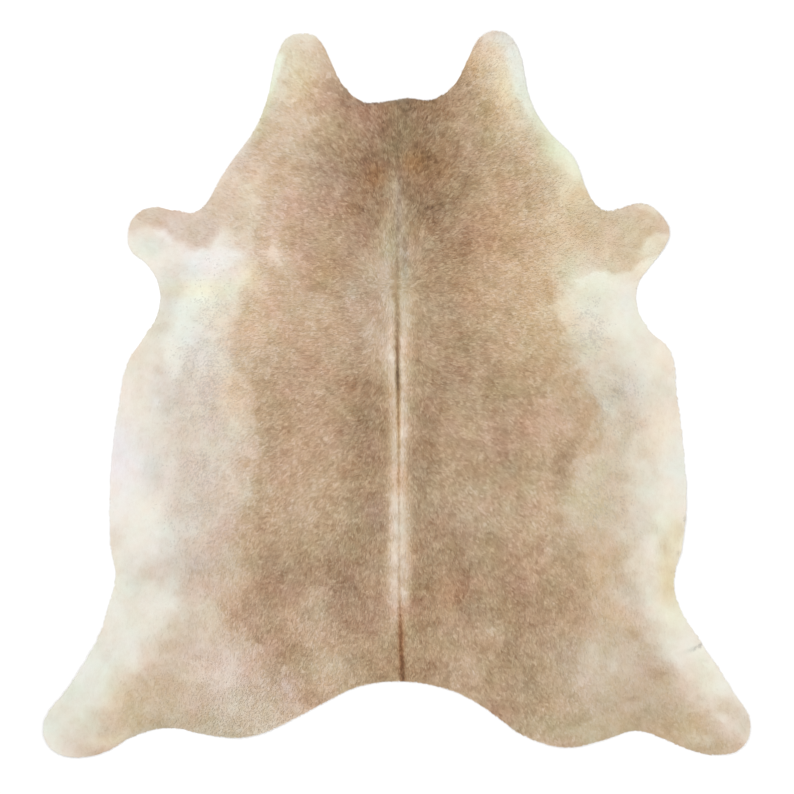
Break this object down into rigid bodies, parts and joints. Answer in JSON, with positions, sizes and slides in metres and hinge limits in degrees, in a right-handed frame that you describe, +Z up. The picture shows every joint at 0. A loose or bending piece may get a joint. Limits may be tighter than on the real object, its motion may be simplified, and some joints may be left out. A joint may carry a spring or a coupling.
{
  "type": "cowhide rug",
  "caption": "Natural cowhide rug: a whole tanned hide with short tan hair, laid flat, with neck lobes, forelegs and hind legs at its cut edge.",
  "frame": {"origin": "on the floor, under the middle of the hide's bounding box", "axes": "+Y towards the neck end, +X to the hide's right as seen from above, +Z up out of the hair side"},
  "size_m": [2.14, 2.2, 0.0074],
  "materials": {
    "hide": "short hair, tan on the back and cream at the flanks, softly matt"
  },
  "bodies": {
    "root": {"hide": "hide"}
  },
  "joints": []
}
